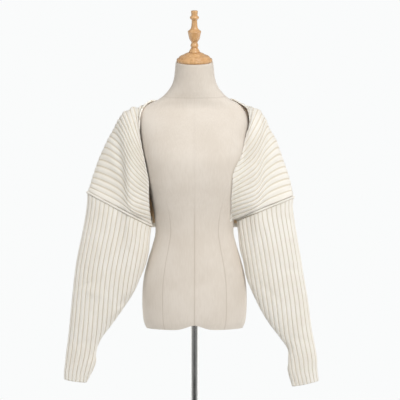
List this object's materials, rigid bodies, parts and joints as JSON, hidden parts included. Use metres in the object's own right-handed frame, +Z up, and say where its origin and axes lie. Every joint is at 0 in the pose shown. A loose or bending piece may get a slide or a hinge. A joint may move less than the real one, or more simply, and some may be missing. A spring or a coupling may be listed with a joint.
{
  "type": "cardigan on dress form",
  "caption": "Open-front ribbed cocoon cardigan with long sleeves, on a limbless dress form with turned wooden neck cap, steel pole and round base.",
  "frame": {"origin": "middle of the base plate's underside, on the floor", "axes": "+Z up along the pole, -Y out of the garment's open front, +X towards the wearer's left"},
  "size_m": [0.7655, 0.35, 1.6398],
  "materials": {
    "rib_knit": "matt ivory chunky rib knit",
    "linen_cover": "cream linen stretched over padding",
    "turned_wood": "clear satin varnish on light hardwood",
    "steel": "satin steel"
  },
  "bodies": {
    "root": {"body_panel": "rib_knit", "sleeve_right": "rib_knit", "sleeve_left": "rib_knit", "armhole_seam_right": "rib_knit", "armhole_seam_left": "rib_knit", "form_torso": "linen_cover", "neck_cap": "turned_wood", "finial": "turned_wood", "pole": "steel", "base_plate": "steel"}
  },
  "joints": []
}
